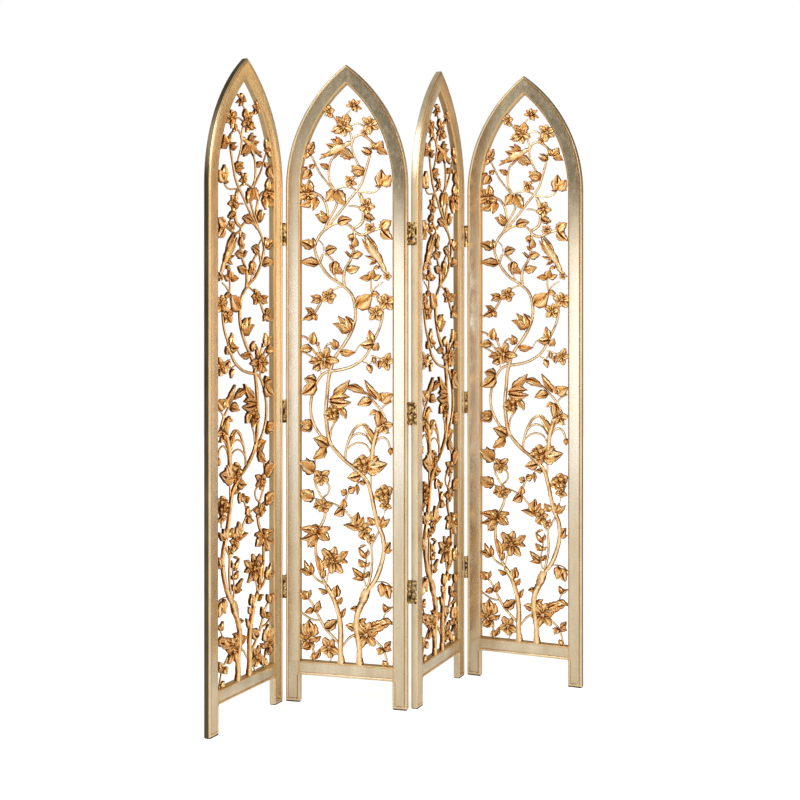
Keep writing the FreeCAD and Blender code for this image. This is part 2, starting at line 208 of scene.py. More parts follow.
def upright_shape():
    """Left upright of a panel: foot, stile and half arch."""
    shape = bmesh.new()
    plain = outer_moulding() + opening_moulding(STILE_FACE, True)
    moulded = outer_moulding() + opening_moulding(STILE_FACE, False)
    straight = [(plain, RAIL_UNDERSIDE), (plain, RAIL_TOP),
                (moulded, RAIL_TOP), (moulded, SPRING_HEIGHT)]
    sections = [[(Vector((across, back, up)), finish) for across, back, finish in outline]
                for outline, up in straight]
    for step in range(1, ARCH_STEPS + 1):
        sections.append([(arch_place(across, back, step / ARCH_STEPS), finish)
                         for across, back, finish in moulded])
    drawn(shape, sections, True)

    def foot_corners(inset, back):
        """Corners of the foot's outline, from the rail down and round, inset from its edges."""
        low, right = GLIDE_THICKNESS + inset, STILE_FACE - inset
        return [Vector((across, back, up)) for across, up in (
            (inset, RAIL_UNDERSIDE), (inset, low), (right, low), (right, RAIL_UNDERSIDE))]

    strips = [[(corner, finish) for corner in foot_corners(inset, back)]
              for inset, back, finish in outer_moulding()]
    drawn(shape, list(zip(*strips)), False)
    for inset, back, finish in ((FIELD_START, FIELD_SETBACK, FIELD),
                                (BACK_ARRIS, PANEL_THICKNESS, EDGE)):
        corners = [shape.verts.new(corner) for corner in foot_corners(inset, back)]
        flat = shape.faces.new(corners if finish == FIELD else corners[::-1])
        flat.material_index = finish
    bmesh.ops.recalc_face_normals(shape, faces=shape.faces)
    return shape


def rail_shape():
    """Bottom rail: the same mouldings, bead at the underside and quarter-round on top."""
    shape = bmesh.new()
    outline = outer_moulding() + opening_moulding(RAIL_FACE, False)
    sections = [[(Vector((across, back, RAIL_UNDERSIDE + up)), finish)
                 for up, back, finish in outline]
                for across in (STILE_FACE, PANEL_WIDTH - STILE_FACE)]
    drawn(shape, sections, True)
    bmesh.ops.recalc_face_normals(shape, faces=shape.faces)
    return shape


def node_of(owner, kind, **inputs):
    """Add a node to a finish, or to the room, and set its inputs by name."""
    node = owner.node_tree.nodes.new(kind)
    for name, value in inputs.items():
        node.inputs[name.replace("_", " ")].default_value = value
    return node


def feed(owner, socket, value):
    """Give a socket a field, a number or a colour."""
    if isinstance(value, bpy.types.NodeSocket):
        owner.node_tree.links.new(value, socket)
    else:
        socket.default_value = (*value, 1) if isinstance(value, tuple) else value


def tones_over(owner, field, stops):
    """Colours laid over a 0 to 1 field: pairs of a place and a colour."""
    ramp = node_of(owner, "ShaderNodeValToRGB")
    elements = ramp.color_ramp.elements
    while len(elements) < len(stops):
        elements.new(0.5)
    for element, (place, colour) in zip(elements, stops):
        element.position = place
        element.color = (*colour, 1)
    feed(owner, ramp.inputs["Fac"], field)
    return ramp.outputs["Color"]


def mottle(owner, coordinates, scale, detail, roughness=0.6, stretch=(1, 1, 1)):
    """Soft irregular variation over the surface, as a 0 to 1 field."""
    mapping = node_of(owner, "ShaderNodeMapping", Scale=stretch)
    feed(owner, mapping.inputs["Vector"], coordinates)
    cloud = node_of(owner, "ShaderNodeTexNoise", Scale=scale, Detail=detail, Roughness=roughness)
    feed(owner, cloud.inputs["Vector"], mapping.outputs["Vector"])
    return cloud.outputs["Fac"]


def blended(owner, share, one, other, way="MIX"):
    """Mix of two colours; share is a number or a field."""
    mix = node_of(owner, "ShaderNodeMix")
    mix.data_type = "RGBA"
    mix.blend_type = way
    for at, value in ((0, share), (6, one), (7, other)):
        feed(owner, mix.inputs[at], value)
    return mix.outputs[2]


def ranged(owner, field, low, high):
    """Bring a 0 to 1 field into the range from low to high."""
    node = node_of(owner, "ShaderNodeMapRange", To_Min=low, To_Max=high)
    feed(owner, node.inputs["Value"], field)
    return node.outputs["Result"]


def calculated(owner, way, *terms):
    """Arithmetic on fields and numbers."""
    node = node_of(owner, "ShaderNodeMath")
    node.operation = way
    for socket, term in zip(node.inputs, terms):
        feed(owner, socket, term)
    return node.outputs[0]


def reach_along(owner, field, way):
    """How far a place or a direction reaches along a way."""
    product = node_of(owner, "ShaderNodeVectorMath")
    product.operation = "DOT_PRODUCT"
    product.inputs[1].default_value = way
    feed(owner, product.inputs[0], field)
    return product.outputs["Value"]


def carried(owner, name, output="Vector"):
    """What the mesh carries at each point, such as its place in the panel's plan."""
    node = node_of(owner, "ShaderNodeAttribute")
    node.attribute_name = name
    return node.outputs[output]


def dress(finish, **looks):
    """Give the surface of a finish its looks by name: fields, numbers or colours."""
    surface = finish.node_tree.nodes["Principled BSDF"]
    for name, value in looks.items():
        feed(finish, surface.inputs[name.replace("_", " ")], value)


def new_finish(name, metallic, roughness):
    """A fresh finish."""
    finish = bpy.data.materials.new(name)
    finish.use_nodes = True
    dress(finish, Metallic=metallic, Roughness=roughness)
    return finish


def raised(finish, field, depth):
    """Fine relief from a field; depth in metres."""
    bump = node_of(finish, "ShaderNodeBump", Strength=1.0, Distance=depth)
    feed(finish, bump.inputs["Height"], field)
    dress(finish, Normal=bump.outputs["Normal"])


# Where the tones of the leaf change: heights are shares of the panel's, the sides of the painted
# dim reflection round the arch are metres across it, and that painted dim reflection reaches a
# little lower on the right.
WHITE, BLACK = (1, 1, 1), (0, 0, 0)
CLOUD_PLACES = (0.30, 0.50, 0.68)
REFLECTION_BAND_HEIGHTS = [(0.24, BLACK), (0.42, WHITE), (0.66, WHITE), (0.84, BLACK)]
DIM_ARCH_HEIGHTS = [(0.82, BLACK), (0.925, WHITE)]
DIM_ARCH_SIDES = (0.12, 0.24)
RIGHT_DIMS_LOWER = 0.11
RUBBED_GRAIN = [(0.36, WHITE), (0.62, BLACK)]
BURNISH_BELOW, BURNISH_ABOVE = 0.08, 0.10
LEAF_GRAIN_DEPTH = 0.0001


def gilding(name, tones, metallic, roughness, speckle, wear_tone, band_reflection_tones=None,
            dim_reflection_tones=None, dim_left=0.0):
    """Metal leaf over gesso: clouded tone, fine speckle, burnish that comes and goes.

    The tones for the band at hand height are a painted reflection: the leaf is painted paler
    there, as if it mirrored the bright middle of the room.
    The tones for the arch are a painted dim reflection: a dull olive painted round the arch, as
    if the leaf mirrored the dim ceiling there. The last argument says how strongly the left side
    is painted the same way.
    """
    finish = new_finish(name, metallic, roughness)
    plan = carried(finish, "in_panel")
    cloud = mottle(finish, plan, 14.0, 6.0, 0.65, (1, 1, 0.35))
    grain = mottle(finish, plan, 420.0, 3.0, 0.7, (1, 1, 0.6))

    def three_tones(field, levels):
        return tones_over(finish, field, list(zip(CLOUD_PLACES, levels)))

    base = three_tones(cloud, tones)
    # Painted reflection: a paler band of leaf at hand height, half way up the panel.
    if band_reflection_tones:
        height = reach_along(finish, plan, (0, 0, 1 / PANEL_HEIGHT))
        base = blended(finish, tones_over(finish, height, REFLECTION_BAND_HEIGHTS), base,
                       three_tones(cloud, band_reflection_tones))
    # Painted dim reflection: a dull olive painted round the arch, reaching lower on the right.
    if dim_reflection_tones:
        height = reach_along(finish, plan, (RIGHT_DIMS_LOWER / PANEL_WIDTH, 0, 1 / PANEL_HEIGHT))
        arch = tones_over(finish, height, DIM_ARCH_HEIGHTS)
        side = tones_over(finish, reach_along(finish, plan, (1, 0, 0)),
                          list(zip(DIM_ARCH_SIDES, ((dim_left,) * 3, WHITE))))
        brushed = mottle(finish, plan, 60.0, 5.0, 0.7, (1, 1, 0.5))
        base = blended(finish, blended(finish, 1.0, arch, side, "MULTIPLY"), base,
                       three_tones(brushed, dim_reflection_tones))
    rubbed = ranged(finish, tones_over(finish, grain, RUBBED_GRAIN), 0.0, speckle)
    burnish = ranged(finish, cloud, roughness - BURNISH_BELOW, roughness + BURNISH_ABOVE)
    dress(finish, Base_Color=blended(finish, rubbed, base, wear_tone), Roughness=burnish)
    raised(finish, grain, LEAF_GRAIN_DEPTH)
    return finish


# Panels 1 and 3 stand turned, with the mirror image of the carving, and their flat field has
# no painted dim reflection round the arch, so it stays pale to the tip. The free edge at each
# end of the screen is painted dark, as painted shade.
TURNED_PANELS = (0, 2)
OPEN_ENDS = ("panel_1_left_upright", "panel_4_right_upright")
# PALE: the pale leaf's cloud tones, metallic, roughness, speckle and wear tone, then the tones of
# its painted reflection, a paler band at hand height.
PALE = ([(0.60, 0.49, 0.32), (0.72, 0.60, 0.41), (0.82, 0.71, 0.51)], 0.85, 0.21, 0.25,
        (0.52, 0.42, 0.27), [(0.90, 0.82, 0.66), (0.96, 0.91, 0.78), (0.99, 0.96, 0.86)])
# Painted dim reflection: the last list is the dull olive painted round the arch, and 0.66 is how
# strongly the left side is painted.
PALE_LEAF = gilding("pale_leaf", *PALE,
                    [(0.12, 0.10, 0.068), (0.22, 0.185, 0.125), (0.38, 0.33, 0.235)], 0.66)
# The same pale leaf, with no painted dim reflection round the arch.
UNDIMMED_LEAF = gilding("undimmed_leaf", *PALE)
# The bead's last list is its painted dim reflection, a darker tone painted round the arch.
BEAD_LEAF = gilding("bead_leaf", [(0.72, 0.54, 0.30), (0.86, 0.68, 0.42), (0.95, 0.81, 0.56)],
                    0.85, 0.27, 0.25, (0.42, 0.26, 0.11), None,
                    [(0.28, 0.21, 0.12), (0.42, 0.33, 0.20), (0.60, 0.49, 0.33)])
WARM_LEAF = gilding("warm_leaf", [(0.62, 0.40, 0.16), (0.76, 0.52, 0.25), (0.86, 0.66, 0.38)],
                    0.85, 0.34, 0.30, (0.38, 0.20, 0.07))
LINE_GLAZE = gilding("line_glaze", [(0.42, 0.20, 0.06), (0.52, 0.27, 0.09), (0.62, 0.35, 0.13)],
                     0.7, 0.42, 0.3, (0.26, 0.12, 0.03))
EDGE_LEAF = gilding("edge_leaf", [(0.64, 0.53, 0.35), (0.80, 0.68, 0.47), (0.90, 0.79, 0.58)],
                    0.80, 0.30, 0.30, (0.40, 0.30, 0.17))
# Painted shade: the free outer edges of the end panels are painted a near-black brown, for the
# shade they stand in.
SHADED_END_LEAF = gilding("shaded_end_leaf",
                        [(0.075, 0.054, 0.026), (0.12, 0.088, 0.044), (0.19, 0.14, 0.075)],
                        0.8, 0.34, 0.30, (0.05, 0.035, 0.016))
# Painted shade: the reveal inside the opening is painted a darker brown gold, for the shade it
# lies in.
SHADED_REVEAL_LEAF = gilding("shaded_reveal_leaf", [(0.42, 0.27, 0.12), (0.54, 0.37, 0.18), (0.64, 0.46, 0.24)],
                      0.8, 0.40, 0.35, (0.26, 0.14, 0.05))
FRAME_FINISHES = [BEAD_LEAF, LINE_GLAZE, PALE_LEAF, WARM_LEAF, SHADED_REVEAL_LEAF, EDGE_LEAF]

upright = upright_shape()
rail = rail_shape()
right_upright = upright.copy()
right_upright.transform(TO_MIRROR)
bmesh.ops.reverse_faces(right_upright, faces=right_upright.faces)
for number, panel in enumerate(PANELS):
    for side, shape in (("left_upright", upright), ("right_upright", right_upright),
                        ("bottom_rail", rail)):
        finishes = list(FRAME_FINISHES)
        if number in TURNED_PANELS:
            finishes[FIELD] = UNDIMMED_LEAF
        if panel + side in OPEN_ENDS:
            finishes[EDGE] = SHADED_END_LEAF
        piece = stand(shape, "gilt_" + panel + side, number, finishes, [panel + side])
        softened(piece, ARCH_SOFT_EDGE)


# Carved openwork of each panel: a flowering vine cut through a board and carved in relief on
# the face, all one piece. Places are hundredths of the opening's width, across from the left
# and up from the rail, and the carving is finished in warm leaf with a brown glaze. Its tones
# also hold painted shade in the hollows and painted highlights on the ridges.
VINE_UNIT = (PANEL_WIDTH - 2 * STILE_FACE) / 100
VINE_BACK = 0.0155
# Stems: the widths from one end to the other, then across and up of each place on the way.
STEMS = [
    ((4.4, 2.2), 72.5, 77, 80.5, 87, 86.5, 101, 90.2, 117, 89.5, 133, 84, 146.5, 80.5, 160,
     77.2, 175.5, 72.5, 190, 61.5, 201.5, 50, 209.7, 40, 219, 32, 230, 29, 245, 27.7, 262, 29, 279,
     31, 298, 37, 317, 48.8, 334, 57.3, 350, 59.9, 366, 56, 383, 45.5, 393.5, 31.5, 402.5,
     20.5, 417, 15.3, 432, 20, 444.5, 30, 455.5, 38, 464.5, 46, 474, 54, 484, 61.5, 492.5, 67, 501,
     70.5, 512, 73.3, 522, 75.6, 530),
    ((5.6, 4.2), 44.5, -1, 44, 6, 43.6, 16, 44, 27, 44, 33, 43.3, 41, 42.4, 47, 40.8, 54, 38.5, 61,
     35.5, 68, 31.5, 74.5, 27, 81),
    ((3, 3), 28, 79, 24, 86.5, 21, 93, 18.3, 101, 16.5, 113, 16.6, 125, 18.3, 133, 21, 140,
     24.2, 146, 26.5, 152, 26.5, 160),
    ((5.6, 6.4), 63.8, -1, 64.2, 10, 64, 20, 63, 27, 61.6, 34, 61, 41, 61.4, 48, 62.7, 54, 65, 60,
     67.7, 66, 70.3, 72, 74, 79),
    ((3, 2.2), 44, 18, 27.5, 34, 20, 46, 15, 55, 10.5, 62, 0, 71),
    ((2.2, 2), 21, 42.3, 11, 43.5, -1, 50.5), ((2, 2.6), 45, 16, 52, 25.5, 57.5, 29.3, 62, 31.5),
    ((2.4, 2), 77, 29.5, 83.5, 23, 88.5, 18.5, 92, 10.5, 95, -1),
    ((2.4, 2.2), 11, 17, 14, 9, 15.5, -1), ((1.4, 1.4), 40, 12.5, 35.5, 6.5, 30.5, -1),
    ((2.6, 2.4), 26, 81, 20, 83.8, 16, 86.5, 11, 93),
    ((1.6, 1.6), 27.5, 80, 28.6, 86, 30, 92, 33, 97.5),
    ((2.8, 2), 72, 78, 74.8, 87, 77, 98, 77.6, 110, 77, 124, 80.5, 130.5, 86.5, 141.5),
    ((2, 1.6), 71.5, 79, 69.3, 86, 68.7, 94, 70.5, 103, 73, 121),
    ((1.6, 1.6), 89.3, 48, 92, 54.5, 99.5, 61.5),
    ((1.4, 1.4), 82, 86, 88, 86.8, 94, 85.5, 99.5, 81),
    ((1.6, 2.6), 14, 170.5, 20, 168.5, 33, 166.3, 41, 163, 46.8, 160.5, 52.5, 154, 58, 147.5,
     64, 140.5, 70, 133, 76.5, 123.5),
    ((2.4, 1.8), 46.5, 160, 48, 168, 50.5, 175, 55.5, 181.5, 61.5, 186, 61.5, 194),
    ((2.2, 2.2), 15.5, 198, 15.3, 188, 17.5, 181, 24, 169.5),
    ((2, 2), 24, 171, 30, 176.5, 31, 183.5, 26, 189), ((2, 2), 75.5, 181, 76.3, 190, 76, 200),
    ((1.3, 1.3), 91, 156, 91.3, 166),
    ((1.8, 2.2), 15, 197, 14.3, 204, 17, 214.5, 21.5, 220.5, 31, 225.5),
    ((2.2, 3.2), 48.8, 211, 48.8, 219, 51, 228, 54.5, 237, 59, 244.5, 66, 249, 73, 246.5, 79, 233),
    ((1.9, 1.9), 51.5, 231, 58, 237.8, 64.5, 239.6, 71.5, 236.5, 77, 228),
    ((1.9, 1.9), 49.3, 221, 56, 227.5, 64, 230, 72, 227, 77, 218),
    ((4.2, 4.4), 77.5, 211, 78.3, 221, 79.8, 231, 84.5, 248),
    ((2, 2.2), 79.5, 226, 82.5, 232.5, 88.5, 236.3, 94.5, 232.5, 98, 219),
    ((1.8, 1.8), 82, 235, 86, 241.3, 91.5, 243, 96.5, 240.5),
    ((2.8, 2.6), 32, 226.5, 25.5, 232.5, 18.8, 240, 13.6, 249.5, 11, 260, 11, 271, 14, 283.5,
     19.5, 295, 25, 301, 33, 304.5),
    ((2.8, 2.2), 31, 303.5, 40, 304.8, 50, 307, 58, 310.3, 68.3, 317.5, 75, 327, 80, 337.5,
     85.5, 349, 88.7, 361, 88.6, 370, 84.5, 379.5, 77, 387),
    ((2.4, 2.2), 94, 250, 91, 257, 86.5, 265, 78, 274.5, 70, 283),
    ((1.6, 1.6), 87, 264, 91, 269.5, 100.5, 274.5), ((1.8, 1.8), 32.3, 234, 33.3, 243, 37.5, 251),
    ((1.2, 1.2), 22, 298, 21.5, 307), ((2, 1.8), 76, 320.5, 82, 319, 94, 315),
    ((1.4, 1.4), 66, 314.5, 71, 313, 74.5, 312, 78, 316, 79.5, 321),
    ((2, 2.4), -1, 340, 5, 339, 10.5, 334, 17, 333, 25, 313),
    ((2.2, 2.2), 11, 328.5, 16, 322, 22, 316), ((2, 2), 0, 324.5, 9, 320, 16, 316),
    ((2, 2), 41, 327.5, 34.5, 332.5, 29, 331.5, 25.5, 325.5),
    ((1.4, 1.4), 59.5, 324.5, 63, 330, 67, 333), ((1.8, 1.8), 47, 392.3, 40, 391, 31, 386),
    ((2.4, 3), 24, 380, 19.5, 371.5, 14, 363.5, 5, 358.5, -1, 357),
    ((1.8, 1.8), 77, 386, 76.3, 393, 76.3, 402), ((1.6, 1.6), 77, 386, 82.5, 392.5, 89.5, 397),
    ((1.5, 1.5), 54, 341, 54, 346, 52, 349),
    ((3, 2.4), 48.5, 391, 47, 400, 48.5, 410, 53, 417.5, 56.3, 425, 58, 434, 58.5, 446, 57.5, 453),
    ((1.8, 1.8), 43, 394, 38, 401, 36.5, 408),
    ((2.4, 2.2), 21, 416, 22.8, 423, 25, 426.5, 31, 423.5, 37, 417),
    ((1.4, 1.4), 25, 429, 24.5, 435, 19.5, 441),
    ((2.4, 2.6), 25, 450, 29.3, 461, 29.3, 469, 27, 479, 21.5, 487, 13, 491),
    ((2.4, 2.2), 28, 458, 35, 469, 39.3, 478, 39.8, 486, 38.5, 494),
    ((2.4, 2.6), 26, 450.5, 34, 456.3, 43, 458.6, 52, 456.5, 58, 451),
    ((3, 3), 57, 452, 65, 456.5, 68.3, 463, 68, 472), ((1.8, 1.8), 52, 476, 58.5, 476, 66, 473.5),
    ((2.6, 2.4), 57, 450, 65, 446, 70, 446.5, 82, 451.5, 90, 453), ((1.2, 1.2), 74, 461, 82, 452),
    ((3.5, 3.5), 63.5, 490, 66, 485, 67.5, 478),
    ((2.2, 1.8), 41, 491, 34, 494.5, 26.5, 503.5, 20, 512, 14, 524, 8, 535),
    ((2.2, 2.2), 37, 493, 32.3, 500, 30.6, 508, 31, 517, 33.5, 524.5, 39, 529.5, 48, 535),
    ((2, 2), 38.5, 493.3, 46, 496, 54, 495.7, 62, 491),
    ((1.8, 1.8), 61, 491, 69.5, 490.2, 77, 489.7, 83, 492, 88, 498),
    ((2, 2), 70.5, 509, 64.5, 515.5, 57, 531, 55.5, 539, 55.3, 547, 52, 558),
    ((2, 2.6), 55.6, 540, 58.3, 547, 65, 550, 71, 547.5, 77, 542.5, 82, 535),
    ((1.8, 1.8), 50, 557, 57.5, 561, 63.5, 561.5, 73, 556), ((2, 2), 44, 559, 38, 566, 33, 573),
    ((1.6, 1.6), 49.5, 568, 50.5, 572, 54, 576), ((1.5, 1.5), 68.5, 508, 64, 507.5, 59, 504.5),
    ((6.5, 9.5, 6.0), 66.5, 63, 70, 72, 73, 81), ((8.5, 6.0), 65, -1, 64.6, 3, 64.2, 8),
    ((8.0, 5.8), 45, -1, 44.5, 3, 44, 8),
]
# Leaves: width, base across and up, tip across and up.
LEAVES = [
    (3.2, 45.3, 47, 49.3, 58), (7.5, 26.5, 35.5, 40, 44.5), (4.5, 14, 54.5, 4.5, 50.5),
    (5, 15.5, 51, 20, 63.5), (2.6, 17, 55, 23.5, 56), (5.5, 61, 36, 49.5, 40),
    (3.6, 62, 58.5, 54, 57), (6, 8.5, 64.5, -1, 72.5), (3.6, 8.5, 65.5, 11, 74.5),
    (3.6, 13.5, 20.5, 22.5, 26.5), (4, 12, 16, 2, 12.5), (4, 15.5, 2, 21, 13.5),
    (4, 15, 1, 13.5, 9), (3.6, 64.5, 45, 74, 38.5), (4.5, 65, 18, 70.5, 29), (6, 77, 40, 90, 47),
    (6.5, 84, 41, 99.5, 45.5), (5, 79, 39, 93, 41), (3, 90, 49.5, 99.5, 43.5),
    (4, 92.5, 55.5, 89.5, 64.5), (3, 93, 57, 99.5, 61.5), (4, 91, 19.5, 98, 26.5),
    (4.5, 91, 18.5, 98.5, 16.5), (5.5, 88.5, 18.5, 85, 11), (4, 94, 0, 89.5, 6),
    (3, 77, 34, 83, 33), (7, 38.5, 68, 40, 81), (3.8, 39.8, 61, 45.5, 69),
    (3.4, 29.5, 71.5, 20, 76.5), (3.4, 69, 88, 56.5, 88.5), (4.6, 69, 90, 56.5, 100),
    (3.6, 70, 90.5, 74.5, 97.5), (4.6, 70.5, 101.5, 63, 109), (2.4, 70.5, 102, 75.5, 106.5),
    (3.6, 71.5, 110, 63.5, 121.5), (3, 71, 113, 74, 119), (2, 64, 121, 72, 124),
    (5, 22.5, 91, 18, 111), (4, 24, 87, 27, 96), (3.2, 12.5, 90, 11, 103), (4, 12, 90, 4, 105),
    (5, 12, 90, -1, 95), (5, 44, 109.5, 52, 116.5), (3.6, 44, 107.5, 51.5, 104.5),
    (6.5, 88, 86, 88, 71.5), (8, 91.5, 84, 97, 69.5), (5, 91.5, 118.5, 97.5, 128.5),
    (3.5, 91.5, 119, 99.5, 120.5), (5, 16, 120, 9, 126.5), (4.2, 21.5, 138, 33, 141),
    (5, 22, 135, 32, 127.5), (3, 20, 140, 10.5, 141), (9, 15, 171, 0, 178), (7, 15, 170.5, 0, 170),
    (3, 31, 163, 35.5, 165.5), (5, 20, 163, 14, 161), (6.5, 47.5, 160, 36.5, 154),
    (5, 46.8, 161, 47, 171), (5, 50.5, 177, 43.5, 179.5), (5.5, 52, 180, 60, 182.5),
    (2.8, 61, 187, 62, 175.5), (5, 64.5, 139.5, 46.5, 144), (5.5, 81, 145.5, 73, 153.5),
    (4.5, 85, 143.5, 97, 153), (4.5, 85, 144, 85, 155), (3.6, 85.5, 144, 90, 155.5),
    (6, 61, 142, 62.5, 158), (5, 62, 143, 69, 154), (4.5, 60, 144, 57, 153),
    (2, 63, 135.5, 70, 129), (7, 66, 197, 51, 193.5), (4, 71, 188, 63, 189),
    (7, 28, 223.8, 13.5, 211.5), (10, 15.5, 197, -1, 208.5), (4, 13, 203, 6, 212.5),
    (8, 31, 225.5, 14, 233.5), (7, 76, 203, 85, 215), (3.4, 98, 226, 98, 218),
    (8, 12.8, 246.3, 0, 250), (7, 12.8, 245.7, 0, 241), (9, 17, 291, 1, 279),
    (8, 17, 291.5, 4, 295.5), (1.6, 16, 292, 10, 298.5), (6, 36, 279.5, 54, 295),
    (5.5, 50.5, 288.5, 72, 280.5), (7, 31.5, 272, 55, 271.5), (5, 31.5, 274.5, 54, 277),
    (4, 37, 279.5, 50, 280), (5, 43, 266, 49.5, 254.5), (6.5, 78, 274.5, 62, 269),
    (5, 86.5, 275, 70, 295.5), (6, 86, 274, 86.5, 282.5), (8, 88, 273, 99.5, 281.5),
    (3.8, 83.5, 263.5, 75, 259), (6, 84.5, 264, 83.5, 247), (4.2, 14.5, 363, 5, 370),
    (5, 13.5, 362.5, 3, 358), (4, 14.5, 363.5, 18, 356.5), (7, 55, 345.5, 41, 361.5),
    (5.5, 54.5, 345.5, 35.5, 353.5), (4.5, 53, 345, 41, 349.5), (7, 55.5, 346, 49.5, 361.5),
    (6.5, 13.5, 331, 14.5, 344.5), (6, 12.5, 327, -1, 325.5), (3, 17.5, 330.5, 20.5, 334),
    (5, 20, 314.5, 8.5, 312.5), (6, 21, 310, 13, 305.5), (5, 43, 324, 60.5, 324),
    (4, 41, 327.5, 32, 334), (3.6, 41, 328, 35.5, 337.5), (6, 79, 333, 65, 332),
    (6, 79, 334.5, 72, 339.5), (4.5, 79.5, 335.5, 75, 347.5), (5, 79, 326, 84, 334.5),
    (4, 73, 311.5, 77, 302), (4.5, 85.5, 316, 86, 307), (3, 79, 319.5, 80, 312),
    (11, 60.5, 371, 78, 384.5), (4, 77, 385, 86, 383), (6.5, 20.5, 416, -1, 417.5),
    (6.5, 27.5, 428.5, 40, 432), (7, 38.5, 419, 36, 404), (5, 37, 411, 46.5, 404.5),
    (6, 50, 409.5, 64.5, 412.5), (6, 56, 423.5, 68, 426), (2, 55.5, 422, 48, 428.5),
    (1.6, 55.5, 423, 50, 429.5), (4.4, 76.5, 400, 64.5, 401), (5.5, 76.5, 401, 79.5, 409.5),
    (4.4, 77.5, 401, 88, 404), (4.5, 23, 380, 11.5, 382.5), (5, 23, 379, 11.5, 375),
    (2.6, 58, 431, 53, 436), (5, 58, 433, 60.5, 443), (5.5, 58.5, 443, 51.5, 445),
    (7, 13.5, 432.5, -1, 439.5), (4.6, 14.5, 433, 14, 443.5), (4, 28.5, 459, 19, 463),
    (6, 29, 459.5, 22, 471.5), (5, 28, 461, 16, 467.5), (6.5, 40.5, 458.8, 56, 462),
    (5.5, 70, 466.5, 81, 462), (8, 36.5, 493, 28, 481), (8.5, 40.5, 493, 48.5, 476.5),
    (7.5, 88, 452, 98.5, 460.5), (7, 88, 451.5, 99.5, 441), (2.6, 88, 452.5, 88, 459),
    (7, 17, 486, 13.5, 471.5), (5.5, 13, 481.5, -1, 477), (5.5, 9.5, 492, 9.5, 504.5),
    (6, 6, 492, 0, 500.5), (5.5, 8, 535, 14.5, 544), (4, 8.5, 532.5, 15.5, 533),
    (5.5, 7.5, 533.5, 5, 526), (6.5, 10.5, 515, 2, 504.5), (3.6, 9.5, 516.5, 15, 520.5),
    (2.6, 7.5, 517, 1, 516), (4, 31, 514.5, 21, 520.5), (8, 69, 509.5, 55.5, 518),
    (4, 69, 508.5, 55, 512), (3, 77, 529.5, 66, 533.5), (3, 77.5, 530.5, 67.5, 537),
    (5, 83, 534, 94.5, 528.5), (6, 83, 535, 89, 543), (5, 82, 534, 78, 543),
    (3, 88, 496.5, 81, 496), (8, 88, 496, 88, 513.5), (8, 88, 496.5, 98, 507.5),
    (7, 50, 562, 50, 572.5), (4, 45, 562, 39, 570), (6, 44, 558, 34, 553.5), (9, 72, 206, 94, 209),
    (7, 73, 207, 84, 217), (8, 73, 204, 88, 202), (5, 74, 203, 80, 196), (6, 20, 134, -1, 138),
    (6, 20, 133, 0, 127), (6, 19, 132, 8, 118.5), (4.5, 19, 136, 33, 138.5), (5, 19, 134, 32, 127),
    (4.5, 17, 133, 13, 141), (7.5, 43, 536, 58, 526), (5, 43, 534, 54, 523.5),
    (5, 80, 229, 67.5, 250), (3.4, 63, 42, 72, 47.5), (4, 73, 36, 83, 34), (9, 11, 26, 9, 43),
    (7, 12, 26, 16, 39), (6, 9, 26, 2.5, 38),
]
# Blossoms: reach, heart, petals and the part of a petal they are turned by.
BLOSSOMS = [
    (8.5, (8, 20.5), 5, 0.0), (11.5, (71.5, 31), 6, 0.3), (9, (31.5, 15), 5, 0.5),
    (11.5, (35, 106), 6, 0.1), (8, (25, 163), 5, 0.2), (8.5, (22, 192.5), 5, 0.6),
    (7, (70, 138.5), 5, 0.1), (4.5, (76.5, 131), 5, 0.3), (5.5, (92, 167), 5, 0.5),
    (10.5, (26, 316), 6, 0.3), (7.5, (90, 249), 5, 0.1), (7, (93, 315), 5, 0.2),
    (7, (82, 364), 5, 0.1), (7.5, (31, 382), 5, 0.3), (8.5, (93, 377), 5, 0.0),
    (3.6, (94, 403), 5, 0.2), (4.6, (75, 453), 5, 0.5), (7, (72, 476), 5, 0.3),
    (9.5, (8, 489), 5, 0.5), (5.5, (54, 501), 5, 0.4), (8.5, (76, 560), 6, 0.1),
    (8, (47, 558), 5, 0.4), (6, (31, 575), 5, 0.2), (4, (70, 552), 5, 0.1),
    (6, (58.5, 580.5), 7, 0.0),
]
# Roses: reach and heart.
ROSES = [
    (8.5, (90, 177.5)), (8, (35, 260)), (9, (67, 207)), (6.5, (32, 108)),
]


def in_vine(place):
    """A place in the vine, in the panel's plan."""
    across, up = place
    return Vector((STILE_FACE + across * VINE_UNIT, 0, RAIL_TOP + up * VINE_UNIT))


def smooth_line(places, spacing):
    """Evenly close places on a smooth line through the ones given."""
    padded = [places[0] * 2 - places[1]] + places + [places[-1] * 2 - places[-2]]
    line = []
    for before, here, there, after in zip(padded, padded[1:], padded[2:], padded[3:]):
        steps = max(2, round((there - here).length / spacing))
        for step in range(steps):
            t = step / steps
            line.append(0.5 * (2 * here + (there - before) * t
                               + (2 * before - 5 * here + 4 * there - after) * t * t
                               + (3 * here - before - 3 * there + after) * t * t * t))
    return line + [places[-1]]


# The stems. Bark is how far they are out of round: a share of the radius, and more of it the
# thicker the stem. Waves of the bark run along the stem, BARK_PITCH to the metre.
STEM_SIDES = 10
STEM_SPACING = 0.007
STEM_FULLNESS = 1.1
STEM_END_TAPER = 0.55
STEM_LEAST_DEPTH = 0.006
STEM_MOST_DEPTH = 0.0150
STEM_LEAST_SETBACK = 0.0035
STEM_BARK = 0.05
BARK_OF_WIDTH = 9.0
BARK_PITCH = 160


